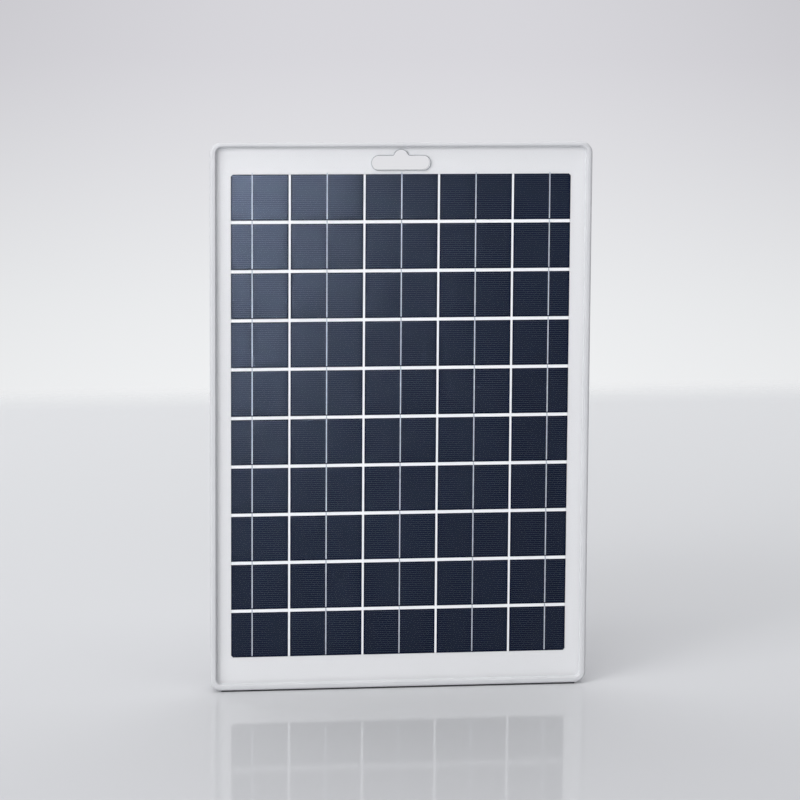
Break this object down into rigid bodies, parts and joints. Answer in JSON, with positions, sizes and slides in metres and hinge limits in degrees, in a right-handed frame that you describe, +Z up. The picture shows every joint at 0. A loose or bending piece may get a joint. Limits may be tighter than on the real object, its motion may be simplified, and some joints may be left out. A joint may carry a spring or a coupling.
{
  "type": "framed solar panel",
  "caption": "Small upright solar panel: white moulded frame with a raised rim and hang slot, dark blue cell strips under a clear sheet, and a lidded junction box behind.",
  "frame": {"origin": "on the surface it stands on, under the middle of the bottom edge", "axes": "+X to the right seen from the front, +Y from the cells to the back, +Z up along the height"},
  "size_m": [0.208, 0.02, 0.3],
  "materials": {
    "frame_white": "satin moulded",
    "sealant_white": "smooth silicone",
    "clear_sheet": "clear, finely textured",
    "clear_filler": "clear",
    "white_filler": "white, melted in a vacuum press",
    "silicon": "dark blue coated silicon with silver fingers",
    "tinned_copper": "tinned",
    "film_white": "white film",
    "backsheet_white": "white film",
    "foam_white": "closed-cell foam",
    "foam_black": "closed-cell foam",
    "rubber_black": "matt rubber",
    "brass": "machined",
    "label_silver": "blank silver label",
    "box_black": "fine moulded texture",
    "screw_steel": "zinc plated",
    "diode_black": "moulded epoxy"
  },
  "bodies": {
    "panel": {"frame": "frame_white", "edge_sealant": "sealant_white", "front_sheet": "clear_sheet", "front_encapsulant": "clear_filler", "rear_encapsulant": "white_filler", "backsheet": "backsheet_white", "bond_tape": "foam_white", "foot_strip": "rubber_black", "bracket_inserts": "brass", "rating_label": "label_silver", "minus_bus": "tinned_copper", "plus_bus": "tinned_copper", "minus_lead": "tinned_copper", "plus_lead": "tinned_copper", "bus_insulator": "film_white", "lead_insulator": "film_white", "junction_base": "box_black", "junction_pad": "foam_black", "lid_gasket": "rubber_black", "cable_grommet": "rubber_black", "cord_clamp": "box_black", "junction_screws": "screw_steel", "clamp_screws": "screw_steel", "terminal_screws": "screw_steel", "hinge_pin": "screw_steel", "minus_terminal": "brass", "link_terminal": "brass", "plus_terminal": "brass", "diode_body": "diode_black", "diode_wires": "tinned_copper", "cell_string_1": "silicon", "cell_string_2": "silicon", "cell_string_3": "silicon", "cell_string_4": "silicon", "cell_string_5": "silicon", "string_ribbons_1": "tinned_copper", "string_ribbons_2": "tinned_copper", "string_ribbons_3": "tinned_copper", "string_ribbons_4": "tinned_copper", "string_ribbons_5": "tinned_copper"},
    "lid": {"junction_lid": "box_black"}
  },
  "joints": [
    {"name": "lid_hinge", "type": "hinge", "parent": "panel", "child": "lid", "pos_m": [0, 0.0077, 0.2366], "axis": [1, 0, 0], "range_deg": [0, 110]}
  ]
}
